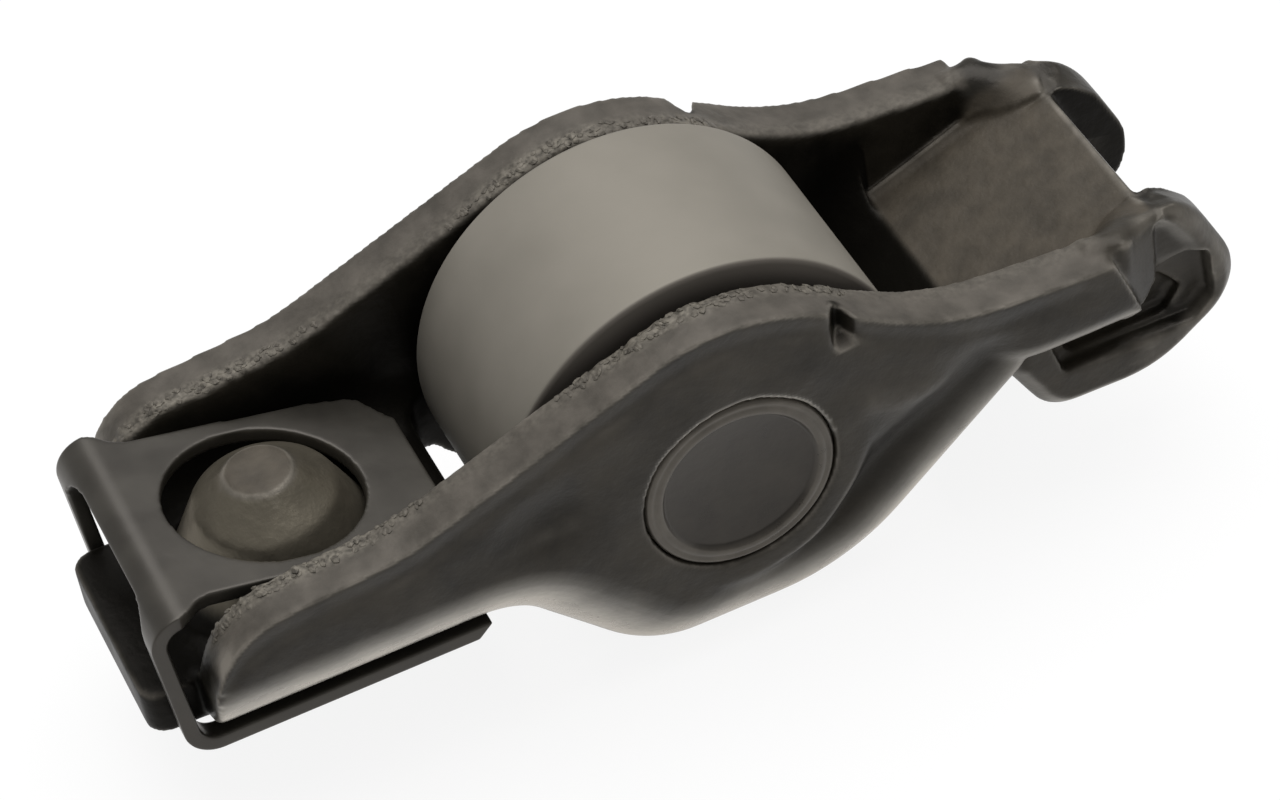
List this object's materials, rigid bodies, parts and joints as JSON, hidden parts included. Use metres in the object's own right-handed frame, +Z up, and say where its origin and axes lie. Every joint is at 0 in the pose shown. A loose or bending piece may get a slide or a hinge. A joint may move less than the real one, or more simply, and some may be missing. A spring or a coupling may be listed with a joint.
{
  "type": "roller finger follower",
  "caption": "Pressed steel rocker arm with a needle-bearing cam roller, a cup for the lash adjuster's ball, a pad and guide for the valve stem, and a spring clip.",
  "frame": {"origin": "centre of the cam roller, on its axle's axis", "axes": "+X along the lever's web from the lash adjuster's cup to the valve pad, +Y along the axle, +Z up towards the cam, with the part lying on its belly"},
  "size_m": [0.0462, 0.0146, 0.0171],
  "materials": {
    "lever_steel": "dark phosphated and oiled",
    "clip_steel": "dark oiled spring steel",
    "axle_steel": "dark, staked ends",
    "roller_steel": "ground, satin",
    "needle_steel": "ground"
  },
  "bodies": {
    "lever": {"arm": "lever_steel", "clip": "clip_steel", "axle": "axle_steel"},
    "cam_wheel": {"roller": "roller_steel"},
    "needle_set": {"needle_01": "needle_steel", "needle_02": "needle_steel", "needle_03": "needle_steel", "needle_04": "needle_steel", "needle_05": "needle_steel", "needle_06": "needle_steel", "needle_07": "needle_steel", "needle_08": "needle_steel", "needle_09": "needle_steel", "needle_10": "needle_steel", "needle_11": "needle_steel", "needle_12": "needle_steel", "needle_13": "needle_steel", "needle_14": "needle_steel", "needle_15": "needle_steel", "needle_16": "needle_steel", "needle_17": "needle_steel", "needle_18": "needle_steel", "needle_19": "needle_steel"}
  },
  "joints": [
    {"name": "roller_spin", "type": "hinge", "parent": "lever", "child": "cam_wheel", "pos_m": [0, 0, 0], "axis": [0, 1, 0], "continuous": true},
    {"name": "needle_orbit", "type": "hinge", "parent": "lever", "child": "needle_set", "pos_m": [0, 0, 0], "axis": [0, 1, 0], "continuous": true}
  ],
  "couplings": [
    {"joint": "needle_orbit", "follows": "roller_spin", "ratio": 0.5807}
  ]
}
